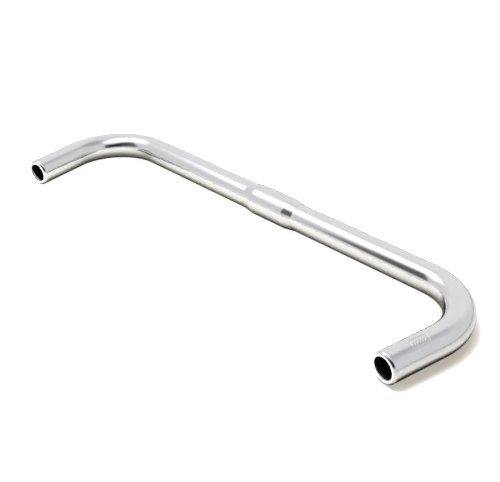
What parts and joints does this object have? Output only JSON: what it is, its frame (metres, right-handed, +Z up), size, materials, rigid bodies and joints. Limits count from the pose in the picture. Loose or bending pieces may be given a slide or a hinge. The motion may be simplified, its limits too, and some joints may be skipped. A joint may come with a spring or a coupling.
{
  "type": "bullhorn handlebar",
  "caption": "Flat U-shaped bicycle handlebar of polished tube, with a thicker clamp area in the middle and two short open-ended horns turned slightly inwards.",
  "frame": {"origin": "on the tube's axis, in the middle of the clamp sleeve", "axes": "+X along the clamp towards the rider's left, -Y forwards along the horns, +Z up, square to the flat bar"},
  "size_m": [0.4222, 0.1168, 0.0254],
  "materials": {
    "polished_tube": "mirror polished, clear anodised",
    "polished_sleeve": "polished, slightly softer than the tube"
  },
  "bodies": {
    "root": {"bar_tube": "polished_tube", "clamp_sleeve": "polished_sleeve"}
  },
  "joints": []
}
